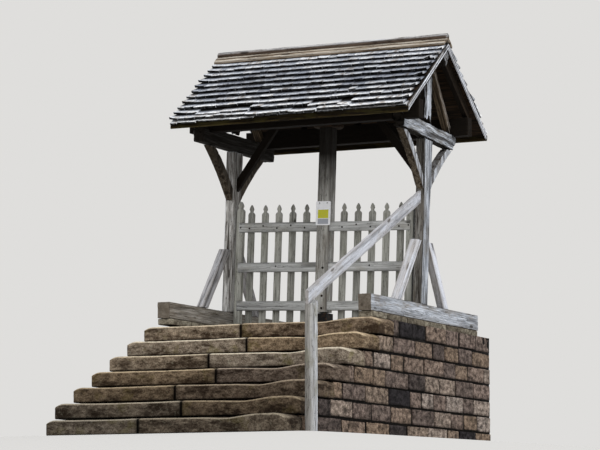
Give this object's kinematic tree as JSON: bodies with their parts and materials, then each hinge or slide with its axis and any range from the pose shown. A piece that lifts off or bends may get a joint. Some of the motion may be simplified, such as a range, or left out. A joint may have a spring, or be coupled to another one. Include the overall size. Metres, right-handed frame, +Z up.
{
  "type": "lychgate",
  "caption": "Small oak churchyard gateway with a shingled gable roof, on a stone platform at the head of a flight of steps; its gate turns on a central post, and a handrail runs down one side.",
  "frame": {"origin": "on the flat underside of the stonework, straight below the foot of the gate's pivot", "axes": "+X along the closed gate to the right seen from the foot of the steps, +Y up the steps into the churchyard, +Z up"},
  "size_m": [3.26, 6.19, 5.0702],
  "materials": {
    "weathered_oak": "matte",
    "pale_oak": "matte",
    "gate_oak": "matte",
    "oak_shingles": "matte",
    "mossy_oak": "matte",
    "ridge_oak": "matte",
    "sandstone": "matte",
    "dark_sandstone": "matte",
    "cast_iron": "matte"
  },
  "bodies": {
    "frame": {"step_1": "sandstone", "step_2": "sandstone", "step_3": "sandstone", "step_4": "sandstone", "step_5": "sandstone", "step_6": "sandstone", "step_7": "sandstone", "platform_core": "dark_sandstone", "flank_walls": "dark_sandstone", "back_wall": "dark_sandstone", "landing_flags": "sandstone", "packing_stones": "dark_sandstone", "pivot_block": "cast_iron", "sills": "weathered_oak", "posts": "weathered_oak", "raking_struts": "pale_oak", "tie_beams": "weathered_oak", "tie_braces": "weathered_oak", "king_posts": "weathered_oak", "principal_rafters": "weathered_oak", "centre_beam": "weathered_oak", "beam_braces": "weathered_oak", "wall_plates": "weathered_oak", "ridge_beam": "pale_oak", "common_rafters": "weathered_oak", "back_roof_boards": "weathered_oak", "front_roof_boards": "weathered_oak", "back_shingles": "oak_shingles", "front_shingles": "oak_shingles", "verge_boards": "pale_oak", "eaves_boards": "mossy_oak", "ridge_boards": "ridge_oak", "ridge_cap": "ridge_oak", "handrail": "pale_oak", "handrail_post": "pale_oak"},
    "gate": {"gate_pivot_post": "gate_oak", "gate_collar": "gate_oak", "left_gate_rails": "gate_oak", "right_gate_rails": "gate_oak", "left_gate_pales": "gate_oak", "right_gate_pales": "gate_oak", "left_gate_stile": "gate_oak", "right_gate_stile": "gate_oak"}
  },
  "joints": [
    {"name": "gate_turn", "type": "hinge", "parent": "frame", "child": "gate", "pos_m": [0, 0, 1.405], "axis": [0.0349, 0, 0.9994], "range_deg": [-90, 90]}
  ]
}
